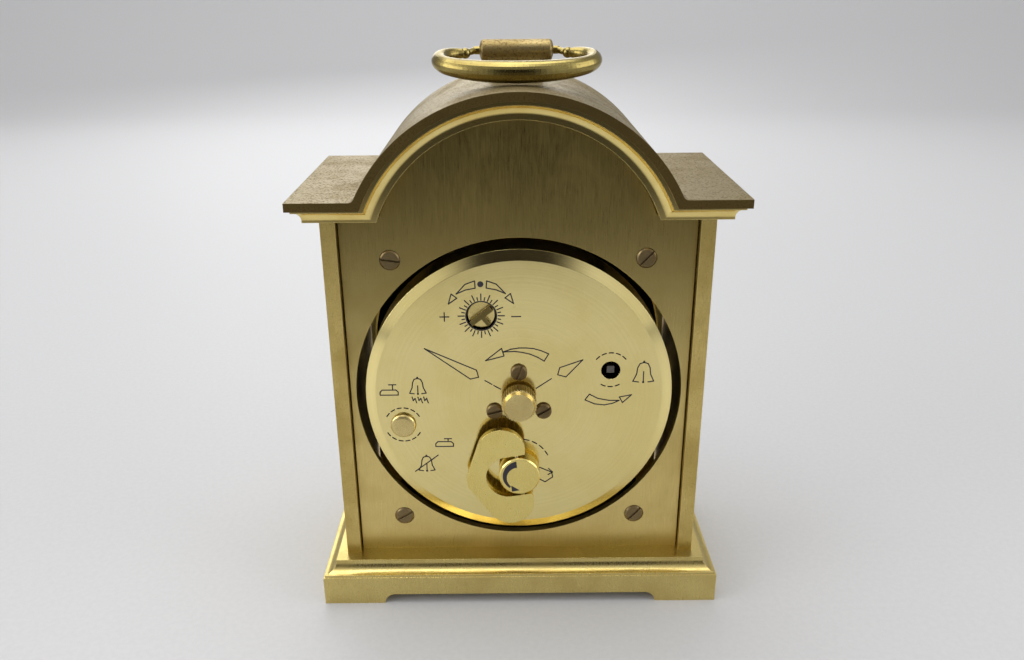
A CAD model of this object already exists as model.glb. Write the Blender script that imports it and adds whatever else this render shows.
"""Looks of the brass bracket clock: materials, engraved marks, dial printing, light and camera.

Everything is in metres in the row frame. Sizes written in millimetres are multiplied by MM.
"""
import math

import bpy
from mathutils import Matrix, Vector


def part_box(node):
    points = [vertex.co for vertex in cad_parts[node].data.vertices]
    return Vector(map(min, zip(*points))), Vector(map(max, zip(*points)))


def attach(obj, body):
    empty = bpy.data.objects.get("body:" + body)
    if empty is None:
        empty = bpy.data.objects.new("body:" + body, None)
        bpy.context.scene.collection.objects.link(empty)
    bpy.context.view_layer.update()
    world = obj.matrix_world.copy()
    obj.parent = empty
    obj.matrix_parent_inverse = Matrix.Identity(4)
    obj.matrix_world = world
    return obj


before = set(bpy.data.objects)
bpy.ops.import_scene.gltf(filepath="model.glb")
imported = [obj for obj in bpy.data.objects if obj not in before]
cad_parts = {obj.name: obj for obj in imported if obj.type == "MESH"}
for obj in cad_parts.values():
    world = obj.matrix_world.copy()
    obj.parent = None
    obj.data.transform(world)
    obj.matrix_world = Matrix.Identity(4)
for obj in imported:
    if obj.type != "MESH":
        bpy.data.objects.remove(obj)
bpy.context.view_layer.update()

MM = 0.001

# ---------- places taken from the CAD ----------
cover_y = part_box("movement_cover")[1].y
key_cap_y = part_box("winding_key_barrel")[1].y
dial_lo, dial_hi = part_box("dial")
dial_y = dial_lo.y
middle_z = (dial_lo.z + dial_hi.z) / 2
dial_centre = (0, 0)

# centres on the cover in mm: to the right as seen from behind, and up, from the dial's centre
window_at = (-7.5, 18.3)
alarm_hole_at = (18.9, 6.1)
button_at = (-24.3, -6.0)
key_at = (0.0, -16.4)

# ---------- procedural material helpers ----------
CLOUD_SCALE = 0.09          # slow patches of tarnish, per mm
EDGE_ROUND = 0.12 * MM      # how far a sharp edge looks rounded
WORN_BRIGHTER = 1.2         # a worn edge against the bright colour
BRUSH_DARKER = 0.62
RING_DARKER = 0.8
RINGS_PER_MM = 2.2


class Nodes:
    """Empties one node tree and adds nodes to it."""

    def __init__(self, tree):
        self.tree = tree
        tree.nodes.clear()

    def add(self, kind):
        return self.tree.nodes.new(kind)

    def link(self, a, b):
        self.tree.links.new(a, b)

    def put(self, value, socket):
        if isinstance(value, bpy.types.NodeSocket):
            self.link(value, socket)
        else:
            socket.default_value = value

    def scaled(self, vector, scale):
        n = self.add("ShaderNodeMapping")
        n.inputs["Scale"].default_value = scale
        self.link(vector, n.inputs["Vector"])
        return n.outputs["Vector"]

    def noise(self, vector, scale, detail, rough):
        n = self.add("ShaderNodeTexNoise")
        self.link(vector, n.inputs["Vector"])
        n.inputs["Scale"].default_value = scale
        n.inputs["Detail"].default_value = detail
        n.inputs["Roughness"].default_value = rough
        return n.outputs["Fac"]

    def remap(self, value, low, high, to_low=0.0, to_high=1.0):
        n = self.add("ShaderNodeMapRange")
        n.interpolation_type = "SMOOTHSTEP"
        self.put(value, n.inputs["Value"])
        ends = {"From Min": low, "From Max": high, "To Min": to_low, "To Max": to_high}
        for name, end in ends.items():
            n.inputs[name].default_value = end
        return n.outputs["Result"]

    def maths(self, what, a, b=0.0):
        n = self.add("ShaderNodeMath")
        n.operation = what
        self.put(a, n.inputs[0])
        self.put(b, n.inputs[1])
        return n.outputs[0]

    def mix(self, amount, a, b):
        n = self.add("ShaderNodeMix")
        n.data_type = "RGBA"
        self.put(amount, n.inputs["Factor"])
        for value, socket in ((a, n.inputs[6]), (b, n.inputs[7])):
            is_socket = isinstance(value, bpy.types.NodeSocket)
            self.put(value if is_socket else (*value, 1.0), socket)
        return n.outputs[2]

    def split(self, vector):
        n = self.add("ShaderNodeSeparateXYZ")
        self.link(vector, n.inputs[0])
        return n.outputs

    def joined(self, x, y, z):
        n = self.add("ShaderNodeCombineXYZ")
        for value, socket in zip((x, y, z), n.inputs):
            self.put(value, socket)
        return n.outputs[0]

    def narrow_band(self, across, along, nearest):
        """1 in a wedge that widens along one direction, 0 outside it."""
        slope = self.maths("DIVIDE", self.maths("ABSOLUTE", across), self.maths("MAXIMUM", along, nearest))
        return self.remap(slope, 0.25, 0.6, 1.0, 0.0)

    def reflections_only(self):
        return self.add("ShaderNodeLightPath").outputs["Is Glossy Ray"]


class Surface(Nodes):
    """One new material: its shader, and the object's own coordinates in millimetres."""

    def __init__(self, name):
        self.material = bpy.data.materials.new(name)
        self.material.use_nodes = True
        super().__init__(self.material.node_tree)
        out = self.add("ShaderNodeOutputMaterial")
        self.shader = self.add("ShaderNodeBsdfPrincipled")
        self.link(self.shader.outputs["BSDF"], out.inputs["Surface"])
        place = self.add("ShaderNodeTexCoord").outputs["Object"]
        self.mm = self.scaled(place, (1 / MM, 1 / MM, 1 / MM))

    def edges(self, radius):
        """A rounded normal, and a mask that is 1 on sharp edges."""
        bevel = self.add("ShaderNodeBevel")
        bevel.samples = 4
        bevel.inputs["Radius"].default_value = radius
        geometry = self.add("ShaderNodeNewGeometry")
        dot = self.add("ShaderNodeVectorMath")
        dot.operation = "DOT_PRODUCT"
        self.link(bevel.outputs[0], dot.inputs[0])
        self.link(geometry.outputs["Normal"], dot.inputs[1])
        return bevel.outputs[0], self.remap(dot.outputs["Value"], 0.9, 0.999, 1.0, 0.0)

    def bumped(self, heights, normal=None):
        """Stacks bumps: heights is a list of (height, distance in mm, strength)."""
        for height, distance, strength in heights:
            n = self.add("ShaderNodeBump")
            n.inputs["Distance"].default_value = distance * MM
            n.inputs["Strength"].default_value = strength
            self.link(height, n.inputs["Height"])
            if normal is not None:
                self.link(normal, n.inputs["Normal"])
            normal = n.outputs[0]
        return normal


def tinted(colour, factor):
    return tuple(min(1.0, factor * c) for c in colour)


def metal(name, bright, dull, rough, brush=None, brush_bump=0.0, streaks=0.5, spots=0.0,
          spot_colour=(0.10, 0.065, 0.025), spot_scale=1.7, edge=0.5, rings=None, grade=None,
          fine=7.0, cut_faces=None, raised=None):
    """Metal with brushing, cloudy tarnish, dark spots and bright worn edges.

    brush is the scale of the brushing noise along X, Y and Z in 1/mm, and streaks how much it
    darkens; rings is the centre (X, Z) in mm of turning marks; grade is (low Z, high Z, colour at
    the top) in mm; fine is the scale of the finest grain in 1/mm; cut_faces is the colour of faces
    square to Y; raised is (Y in mm, colour beyond it).
    """
    m = Surface(name)
    cloud = m.noise(m.mm, CLOUD_SCALE, 5, 0.6)
    grit = m.noise(m.mm, fine, 3, 0.6)
    colour = m.mix(m.remap(cloud, 0.35, 0.68), bright, dull)
    if grade:
        low, high, top = grade
        height = m.split(m.mm)[2]
        colour = m.mix(m.remap(height, low, high), colour, top)
    roughness = m.maths("ADD", m.remap(grit, 0.3, 0.7, rough * 0.8, rough * 1.2),
                        m.remap(cloud, 0.4, 0.75, 0.0, rough * 0.45))
    heights = [(grit, 0.02, 0.12)]
    if brush:
        streak = m.noise(m.scaled(m.mm, brush), 1.0, 4, 0.65)
        darker = m.remap(streak, 0.32, 0.7, 0.0, streaks)
        colour = m.mix(darker, colour, tinted(bright, BRUSH_DARKER))
        roughness = m.maths("ADD", roughness, m.remap(streak, 0.3, 0.7, -0.05, 0.12))
        heights.append((streak, 0.03, brush_bump))
    if rings:
        x, _, z = m.split(m.mm)
        across = m.maths("SUBTRACT", x, rings[0])
        up = m.maths("SUBTRACT", z, rings[1])
        squares = m.maths("ADD", m.maths("MULTIPLY", across, across), m.maths("MULTIPLY", up, up))
        outward = m.maths("MULTIPLY", m.maths("SQRT", squares), RINGS_PER_MM)
        turning = m.noise(m.joined(outward, 0.0, 0.0), 1.0, 3, 0.6)
        heights.append((turning, 0.03, 0.22))
        darker = m.remap(turning, 0.35, 0.65, 0.0, 0.3)
        colour = m.mix(darker, colour, tinted(bright, RING_DARKER))
    if spots:
        patches = m.noise(m.mm, spot_scale, 6, 0.72)
        blot = m.remap(patches, 0.62 - 0.16 * spots, 0.72 - 0.1 * spots, 0.0, spots)
        colour = m.mix(blot, colour, spot_colour)
        roughness = m.maths("ADD", roughness, m.maths("MULTIPLY", blot, 0.3))
        heights.append((m.maths("SUBTRACT", 1.0, blot), 0.03, 0.35))
    if cut_faces:
        normal = m.add("ShaderNodeNewGeometry").outputs["Normal"]
        square_to_y = m.remap(m.maths("ABSOLUTE", m.split(normal)[1]), 0.6, 0.9)
        colour = m.mix(square_to_y, colour, cut_faces)
    if raised:
        from_y, beyond = raised
        colour = m.mix(m.remap(m.split(m.mm)[1], from_y, from_y + 0.05), colour, beyond)
    rounded, worn = m.edges(EDGE_ROUND)
    colour = m.mix(m.maths("MULTIPLY", worn, edge), colour, tinted(bright, WORN_BRIGHTER))
    m.put(colour, m.shader.inputs["Base Color"])
    m.put(roughness, m.shader.inputs["Roughness"])
    m.put(1.0, m.shader.inputs["Metallic"])
    m.put(m.bumped(heights, rounded), m.shader.inputs["Normal"])
    return m.material


def painted(name, colour, other, rough, bump=0.1):
    """A non-metal surface with fine grain and slight colour change."""
    m = Surface(name)
    grain = m.noise(m.mm, 9.0, 4, 0.6)
    cloud = m.noise(m.mm, 0.12, 4, 0.6)
    change = m.remap(m.maths("ADD", grain, cloud), 0.8, 1.25)
    m.put(m.mix(change, colour, other), m.shader.inputs["Base Color"])
    m.put(m.remap(grain, 0.3, 0.7, rough * 0.85, rough * 1.15), m.shader.inputs["Roughness"])
    m.put(m.bumped([(grain, 0.02, bump)]), m.shader.inputs["Normal"])
    return m.material


def glass(name):
    m = Surface(name)
    smear = m.noise(m.mm, 0.3, 5, 0.7)
    m.put((0.96, 0.98, 0.97, 1.0), m.shader.inputs["Base Color"])
    m.put(m.remap(smear, 0.45, 0.75, 0.0, 0.05), m.shader.inputs["Roughness"])
    m.put(1.0, m.shader.inputs["Transmission Weight"])
    m.put(1.45, m.shader.inputs["IOR"])
    return m.material


GOLD = (0.85, 0.69, 0.27)
GOLD_DEEP = (0.75, 0.57, 0.19)

turning_centre = (0.0, middle_z / MM)
regulator_face_y = cover_y / MM - 0.7       # above the regulator's round face, below its raised bar
materials = {
    "cover": metal("cover_brass", (0.89, 0.75, 0.33), (0.85, 0.70, 0.28), 0.13, spots=0.12,
                   rings=turning_centre, edge=0.8),
    "polished": metal("polished_brass", GOLD, GOLD_DEEP, 0.12, spots=0.15, edge=0.6),
    "key": metal("key_brass", (0.84, 0.69, 0.24), (0.79, 0.63, 0.20), 0.16, brush=(5, 5, 0.4),
                 brush_bump=0.02, streaks=0.06, spots=0.1, edge=0.7),
    "rear": metal("rear_panel_brass", (0.78, 0.62, 0.24), (0.71, 0.55, 0.20), 0.32, brush=(15, 15, 0.3),
                  brush_bump=0.22, streaks=0.25, spots=0.05, grade=(25, 100, (0.20, 0.15, 0.045))),
    "plinth": metal("plinth_brass", (0.72, 0.58, 0.22), (0.62, 0.48, 0.17), 0.24, brush=(10, 10, 0.3),
                    brush_bump=0.22, streaks=0.3, spots=0.2, edge=0.9),
    "front": metal("front_panel_brass", (0.72, 0.58, 0.23), (0.64, 0.50, 0.18), 0.3, brush=(15, 15, 0.3),
                   brush_bump=0.22, streaks=0.25, spots=0.05),
    "side": metal("side_panel_brass", (0.70, 0.54, 0.19), (0.54, 0.40, 0.12), 0.28, brush=(10, 10, 0.4),
                  brush_bump=0.2, streaks=0.3, spots=0.45, spot_scale=3.0, edge=0.7),
    "roof": metal("roof_brass", (0.29, 0.235, 0.12), (0.24, 0.185, 0.085), 0.45, spots=0.9, spot_scale=2.2,
                  spot_colour=(0.13, 0.095, 0.045), edge=0.3, fine=9.0, cut_faces=(0.13, 0.09, 0.03)),
    "handle": metal("handle_brass", (0.38, 0.31, 0.105), (0.25, 0.19, 0.06), 0.2, spots=0.45,
                    spot_scale=3.0, edge=0.2),
    "post": metal("post_brass", (0.42, 0.33, 0.15), (0.31, 0.23, 0.09), 0.36, spots=0.9, spot_scale=2.2,
                  spot_colour=(0.16, 0.10, 0.04), edge=0.4, fine=6.0),
    "knob": metal("knob_brass", (0.72, 0.58, 0.25), (0.56, 0.43, 0.17), 0.28, spots=0.35,
                  spot_scale=3.0, edge=0.8),
    "regulator": metal("regulator_brass", (0.82, 0.67, 0.28), (0.70, 0.55, 0.20), 0.22, spots=0.3,
                       spot_scale=3.0, edge=0.2, raised=(regulator_face_y, (0.17, 0.13, 0.045))),
    "screw": metal("screw_bronze", (0.25, 0.185, 0.09), (0.16, 0.11, 0.05), 0.3, brush=(0.5, 6, 6),
                   brush_bump=0.15, spots=0.5, spot_scale=3.0, edge=0.6),
    "movement": metal("movement_brass", (0.80, 0.64, 0.28), (0.70, 0.55, 0.22), 0.2, brush=(6, 6, 0.6),
                      brush_bump=0.1),
    "steel": metal("plain_steel", (0.62, 0.61, 0.59), (0.50, 0.49, 0.47), 0.26, brush=(5, 5, 0.5),
                   brush_bump=0.12, spots=0.15),
    "dark_steel": metal("dark_steel", (0.20, 0.19, 0.18), (0.13, 0.12, 0.11), 0.3, spots=0.2, edge=0.6),
    "blued": metal("blued_steel", (0.06, 0.09, 0.22), (0.04, 0.05, 0.13), 0.18, spots=0.05, edge=0.3),
    "dial": painted("dial_enamel", (0.86, 0.84, 0.74), (0.80, 0.77, 0.66), 0.42),
    "ink": painted("engraving_paint", (0.014, 0.013, 0.020), (0.026, 0.022, 0.030), 0.5, bump=0.2),
    "glass": glass("crystal_glass"),
    "dark": painted("shadow_black", (0.006, 0.005, 0.004), (0.012, 0.010, 0.008), 0.7),
}
by_node = {
    "cover": ["movement_cover"],
    "polished": ["cornice_moulding", "bezel", "alarm_hand"],
    "key": ["winding_key_barrel", "winding_key_wing"],
    "rear": ["rear_panel"],
    "plinth": ["plinth"],
    "front": ["front_panel"],
    "side": ["side_panel_left", "side_panel_right"],
    "roof": ["roof_plate"],
    "handle": ["handle_bail"],
    "post": ["handle_post"],
    "knob": ["hand_set_knob", "alarm_button"],
    "regulator": ["regulator_index"],
    "screw": ["rear_panel_screws", "cover_screws", "case_pillars"],
    "blued": ["plate_screws", "cock_screws", "hairspring", "hour_hand", "minute_hand"],
    "dial": ["dial"],
    "glass": ["crystal"],
    "steel": ["plinth_screws", "handle_screws", "movement_clamps", "clamp_screws", "key_hinge_pin",
              "going_mainspring", "alarm_mainspring", "going_ratchet_arbor",
              "alarm_ratchet_arbor", "winding_click", "pallet_lever", "centre_arbor", "alarm_hammer"],
    "dark_steel": ["alarm_set_arbor"],
    "dark": ["movement_case"],
}
material_of = {n: key for key, members in by_node.items() for n in members}
for name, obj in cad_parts.items():
    obj.data.materials.clear()
    obj.data.materials.append(materials[material_of.get(name, "movement")])

# ---------- engraved and printed marks ----------
MARK_T = 0.02 * MM      # how far marks stand out
INK = 0.25              # width of the engraved lines, mm
DASH = 0.26             # width of the dashes that stand where words were, mm


def new_object(name, data):
    obj = bpy.data.objects.new(name, data)
    bpy.context.scene.collection.objects.link(obj)
    return obj


def place_back(u, v, depth_y):
    """A point seen from behind: u is to the viewer's right, v up, in mm from the dial's centre."""
    return Vector((-u * MM, depth_y, middle_z + v * MM))


def place_front(u, v, depth_y):
    """The same for the dial side."""
    return Vector((u * MM, depth_y, middle_z + v * MM))


def mark(name, outlines, body, depth_y, where=place_back):
    """One mesh of thin raised shapes, each outline a list of (u, v) points in order."""
    outward = 1 if where is place_back else -1
    verts, faces = [], []
    for outline in outlines:
        count, first = len(outline), len(verts)
        verts += [where(u, v, depth_y + outward * MARK_T) for u, v in outline]
        verts += [where(u, v, depth_y) for u, v in outline]
        faces.append([first + i for i in range(count)])
        faces.append([first + count + i for i in reversed(range(count))])
        for i in range(count):
            after = (i + 1) % count
            faces.append([first + i, first + count + i, first + count + after, first + after])
    mesh = bpy.data.meshes.new(name)
    mesh.from_pydata(verts, [], faces)
    mesh.update()
    mesh.materials.append(materials["ink"])
    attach(new_object(name, mesh), body)


def polar(at, radius, degrees):
    a = math.radians(degrees)
    return (at[0] + radius * math.cos(a), at[1] + radius * math.sin(a))


def bar(a, b, width):
    """A straight stroke as one outline."""
    d = Vector((b[0] - a[0], b[1] - a[1]))
    n = Vector((-d.y, d.x)).normalized() * (width / 2)
    return [(a[0] + n.x, a[1] + n.y), (a[0] - n.x, a[1] - n.y),
            (b[0] - n.x, b[1] - n.y), (b[0] + n.x, b[1] + n.y)]


def stroke(points, width, closed=False):
    """A broken line as bars with round dots at its corners."""
    ends = points + points[:1] if closed else points
    pieces = [bar(a, b, width) for a, b in zip(ends, ends[1:])]
    return pieces + [disc(p, width / 2, 8) for p in points]


def disc(at, radius, sides=24):
    return [polar(at, radius, 360 / sides * i) for i in range(sides)]


def arc(at, radius, start, end, steps=3):
    return [polar(at, radius, start + (end - start) * i / steps) for i in range(steps + 1)]


def ring(at, radius, width, sides=48):
    """A thin ring as a row of four-sided pieces."""
    step = 360 / sides
    inner, outer = radius - width / 2, radius + width / 2
    return [[polar(at, inner, step * i), polar(at, outer, step * i),
             polar(at, outer, step * (i + 1)), polar(at, inner, step * (i + 1))]
            for i in range(sides)]


def ticks(at, inner, outer, count, width, start=0.0):
    angles = [start + 360 / count * i for i in range(count)]
    return [bar(polar(at, inner, a), polar(at, outer, a), width) for a in angles]


def shifted(points, at, size=1.0):
    return [(at[0] + size * u, at[1] + size * v) for u, v in points]


def mirrored(points, at):
    return [(2 * at - u, v) for u, v in points]


# regulator: ring, rays, plus and minus, and two tapering arrows
crescent = [(-1.2, 7.4), (-3.1, 6.7), (-4.9, 4.7), (-3.1, 5.5), (-1.1, 5.9)]
head = [(-5.9, 4.7), (-4.8, 3.8), (-6.5, 2.6)]
RAYS = 16
regulator = ring(window_at, 3.1, 0.24)
regulator += ticks(window_at, 3.3, 4.75, RAYS, INK)
regulator += ticks(window_at, 3.3, 4.05, RAYS, INK, 360 / RAYS / 2)
regulator += [bar((-15.9, 18.15), (-13.9, 18.15), INK), bar((-14.9, 17.15), (-14.9, 19.15), INK),
              bar((-1.5, 18.1), (0.5, 18.1), INK), disc((window_at[0] - 0.05, 25.0), 0.62)]
for shape in (crescent, head):
    left = shifted(shape, window_at)
    regulator += stroke(left, INK, True) + stroke(mirrored(left, window_at[0]), INK, True)
mark("marks_regulator", regulator, "case", cover_y)

# hand setting: a curved arrow and outlines of a long and a short hand
arrow_body = [(-3.2, 10.4), (-1.6, 11.0), (0.0, 11.25), (1.5, 11.25), (3.0, 11.1), (4.6, 10.6),
              (6.1, 9.9), (5.2, 8.3), (3.8, 9.2), (2.2, 9.9), (0.6, 10.3), (-0.8, 10.5), (-2.2, 10.45)]
setting = stroke(arrow_body, INK, True)
setting += stroke([(-6.8, 8.5), (-3.5, 11.2), (-3.0, 9.5)], INK, True)
setting += stroke([(-19.2, 11.3), (-8.7, 6.4), (-8.3, 4.8), (-10.0, 4.4)], INK, True)
setting += stroke([(13.1, 8.5), (8.4, 6.8), (8.0, 5.2), (9.7, 4.7)], INK, True)
setting += [bar((-7.1, 4.1), (-5.5, 3.1), INK), bar((-5.3, 2.95), (-3.7, 2.0), INK),
            bar((6.8, 4.4), (3.5, 2.1), INK)]
mark("marks_hand_setting", setting, "case", cover_y)


def bell(at, size):
    """A plain bell outline with its clapper."""
    side = [(0.0, 1.0), (0.38, 0.88), (0.58, 0.45), (0.66, -0.2), (0.98, -0.92), (0.45, -1.0)]
    right = shifted(side, at, size)
    clapper_top, clapper_end, clapper_ball, crown = shifted(
        [(0.0, 0.1), (0.0, -1.0), (0.0, -1.02), (0.0, 1.08)], at, size)
    shapes = stroke(right, INK) + stroke(mirrored(right, at[0]), INK)
    shapes += [bar(clapper_top, clapper_end, INK)]
    return shapes + [disc(clapper_ball, 0.24), disc(crown, 0.24)]


def push_icon(at, lift):
    """A low button with its stem, standing out by lift."""
    body = [(-1.9, -0.6), (-1.9, 0.05), (-1.45, 0.55), (1.4, 0.55), (1.85, 0.1), (1.85, -0.6)]
    stem, top, cap_left, cap_right = shifted(
        [(0.75, 0.55), (0.75, 0.55 + lift), (-0.1, 0.55 + lift), (1.55, 0.55 + lift)], at)
    return stroke(shifted(body, at), INK, True) + [bar(stem, top, INK), bar(cap_left, cap_right, INK)]


def dash_row(at, radius, start, end, count):
    """A row of short plain dashes that follow an arc."""
    gap = (end - start) / count
    pieces = []
    for i in range(count):
        pieces += stroke(arc(at, radius, start + gap * (i + 0.2), start + gap * (i + 0.8)), DASH)
    return pieces


# alarm button: a ringing bell, a silent bell, and the button out and in
BELL = 1.75
alarm = bell((-20.95, 2.9), BELL) + push_icon((-26.9, 1.5), 1.2) + push_icon((-15.8, -10.7), 0.7)
zigzag = [(0.0, 0.0), (0.2, -0.85), (0.6, -0.3), (0.9, -1.35)]
for left in (-22.2, -21.0, -19.8):
    alarm += stroke(shifted(zigzag, (left, 0.4)), INK)
alarm += bell((-19.8, -15.4), BELL) + stroke([(-22.3, -17.3), (-17.3, -13.4)], INK)
alarm += dash_row(button_at, 3.9, 155, 25, 6) + dash_row(button_at, 3.9, 205, 335, 6)
mark("marks_alarm_button", alarm, "case", cover_y)

# alarm setting: a curved arrow, a bell and two rows of dashes round the arbor's hole
tail = [(14.65, 0.7), (13.75, -0.6), (15.8, -1.55), (17.8, -1.8), (19.5, -1.45), (20.9, -0.8),
        (18.7, -0.75), (16.5, -0.3)]
alarm_set = stroke(tail, INK, True) + stroke([(20.9, 0.0), (23.4, 0.5), (21.6, -1.3)], INK, True)
alarm_set += bell((25.7, 5.6), 2.2)
alarm_set += dash_row(alarm_hole_at, 3.9, 145, 35, 5) + dash_row(alarm_hole_at, 3.7, 235, 305, 3)
mark("marks_alarm_setting", alarm_set, "case", cover_y)

# winding: dashes round the key, a turning arrow beside it, and the filled arrow on the key's cap
winding = dash_row(key_at, 6.7, 84, 22, 4)
winding += stroke([(4.4, -16.6), (7.0, -17.8), (7.2, -19.0), (5.6, -20.2), (3.9, -19.2)], INK)
winding += stroke([(6.3, -16.9), (7.2, -17.8), (6.2, -18.4)], INK)
mark("marks_winding", winding, "case", cover_y)

BAND_STEPS = 18
along_band = [i / BAND_STEPS for i in range(BAND_STEPS + 1)]
band_out = [polar(key_at, 3.75 - 0.35 * t, 100 + 132 * t) for t in along_band]
band_in = [polar(key_at, 2.25 + 0.7 * t, 103 + 129 * t) for t in along_band]
cap_arrow = [[band_out[i], band_out[i + 1], band_in[i + 1], band_in[i]] for i in range(BAND_STEPS)]
cap_arrow.append(shifted([(-1.75, -2.1), (0.0, -3.25), (-1.6, -3.6)], key_at))
mark("marks_key_cap", cap_arrow, "key", key_cap_y)

# ---------- dial printing ----------
MINUTES_OUT = 29.6
MINUTES_IN = 27.9
ALARM_RING = 13.8
NUMERAL_RADIUS = 22.8
NUMERAL = 5.2 * MM

track = ring(dial_centre, MINUTES_OUT, 0.16, 96) + ring(dial_centre, MINUTES_IN, 0.16, 96)
track += ring(dial_centre, ALARM_RING, 0.12, 72)
track += ticks(dial_centre, MINUTES_IN + 0.05, MINUTES_OUT - 0.05, 60, 0.14)
track += ticks(dial_centre, MINUTES_IN, MINUTES_OUT, 12, 0.55)
track += ticks(dial_centre, ALARM_RING - 1.2, ALARM_RING, 48, 0.1)
track += ticks(dial_centre, ALARM_RING - 1.7, ALARM_RING, 12, 0.22)
mark("dial_track", track, "case", dial_y, where=place_front)

for hour in range(1, 13):
    curve = bpy.data.curves.new(f"numeral_{hour}", "FONT")
    curve.body = str(hour)
    curve.size = NUMERAL
    curve.align_x, curve.align_y = "CENTER", "CENTER"
    curve.extrude = MARK_T / 2
    curve.materials.append(materials["ink"])
    numeral = new_object(f"dial_numeral_{hour}", curve)
    u, v = polar(dial_centre, NUMERAL_RADIUS, 90 - 30 * hour)
    place = Matrix.Translation(place_front(u, v, dial_y - MARK_T))
    numeral.matrix_world = place @ Matrix.Rotation(math.pi / 2, 4, "X")
    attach(numeral, "case")

# ---------- floor, light and camera ----------
FLOOR = 3.0          # half width, m
BEND_Y = -0.7        # where the floor starts to curve up into the backdrop
BEND_R = 0.5
BEND_STEPS = 24
PALE_NEAR = (0.47, 0.47, 0.474)
PALE_SPECK = (0.45, 0.45, 0.455)
PALE_FAR = (0.60, 0.60, 0.605)
ROOM_DARK = (0.03, 0.026, 0.022)        # the dark room in front of the clock, seen only in reflections
SKY = (0.80, 0.80, 0.81)
SKY_DARK = (0.025, 0.02, 0.018)
SKY_STRENGTH = 0.85
CLOCK_CENTRE = (0, 0, 0.06)

profile = [(FLOOR, 0.0)]
for i in range(BEND_STEPS + 1):
    turn = math.pi / 2 * i / BEND_STEPS
    profile.append((BEND_Y - BEND_R * math.sin(turn), BEND_R * (1 - math.cos(turn))))
profile.append((BEND_Y - BEND_R, FLOOR))
floor_mesh = bpy.data.meshes.new("floor")
floor_mesh.from_pydata([(x, y, z) for y, z in profile for x in (-FLOOR, FLOOR)], [],
                       [(2 * i, 2 * i + 1, 2 * i + 3, 2 * i + 2) for i in range(len(profile) - 1)])
for face in floor_mesh.polygons:
    face.use_smooth = True
paper = Surface("floor_paper")
x, y, _ = paper.split(paper.mm)
wedge = paper.maths("MULTIPLY", paper.remap(y, 200, 420), paper.narrow_band(x, y, 1.0))
shade = paper.maths("MULTIPLY", wedge, paper.reflections_only())
speck = paper.noise(paper.mm, 0.8, 3, 0.6)
near = paper.mix(paper.remap(speck, 0.3, 0.7), PALE_NEAR, PALE_SPECK)
pale = paper.mix(paper.remap(y, -700, -60, 1.0, 0.0), near, PALE_FAR)
paper.put(paper.mix(shade, pale, ROOM_DARK), paper.shader.inputs["Base Color"])
paper.put(0.55, paper.shader.inputs["Roughness"])
floor_mesh.materials.append(paper.material)
new_object("floor", floor_mesh)

world = bpy.data.worlds.new("studio")
bpy.context.scene.world = world
world.use_nodes = True
room = Nodes(world.node_tree)
x, y, z = room.split(room.add("ShaderNodeTexCoord").outputs["Generated"])
wedge = room.maths("MULTIPLY", room.remap(y, 0.0, 0.25), room.narrow_band(x, y, 0.01))
dark_side = room.maths("MULTIPLY", wedge, room.remap(z, 0.55, 0.85, 1.0, 0.0))
shade = room.maths("MULTIPLY", dark_side, room.reflections_only())
background = room.add("ShaderNodeBackground")
room.put(room.mix(shade, SKY, SKY_DARK), background.inputs["Color"])
room.put(SKY_STRENGTH, background.inputs["Strength"])
room.link(background.outputs[0], room.add("ShaderNodeOutputWorld").inputs["Surface"])


def area_light(name, at, aim, size, watts):
    light = bpy.data.lights.new(name, "AREA")
    light.shape = "SQUARE"
    light.size = size
    light.energy = watts
    obj = new_object(name, light)
    obj.location = at
    obj.rotation_mode = "QUATERNION"
    obj.rotation_quaternion = (Vector(aim) - Vector(at)).to_track_quat("-Z", "Y")


area_light("top_light", (0.10, -0.10, 0.75), (0, 0, 0.05), 0.7, 4.2)
area_light("left_light", (0.65, 0.25, 0.35), CLOCK_CENTRE, 0.5, 2.2)
area_light("right_light", (-0.65, 0.15, 0.35), CLOCK_CENTRE, 0.5, 1.6)
area_light("front_light", (0.1, -0.7, 0.4), CLOCK_CENTRE, 0.5, 1.5)

camera_data = bpy.data.cameras.new("camera")
camera_data.sensor_width = 36.0
camera_data.lens = 31.52
camera_data.shift_x = 0.0033
camera_data.shift_y = 0.0006
camera_data.clip_start = 0.005
camera = new_object("camera", camera_data)
camera_place = Vector((2.28, 186.52, 129.82)) * MM
right = Vector((-0.99996, 0.00458, -0.00773))
up = Vector((-0.00888, -0.36989, 0.92903))
facing = Matrix((right, up, right.cross(up))).transposed()
camera.matrix_world = Matrix.Translation(camera_place) @ facing.to_4x4()
bpy.context.scene.camera = camera
bpy.context.scene.view_settings.view_transform = "Standard"
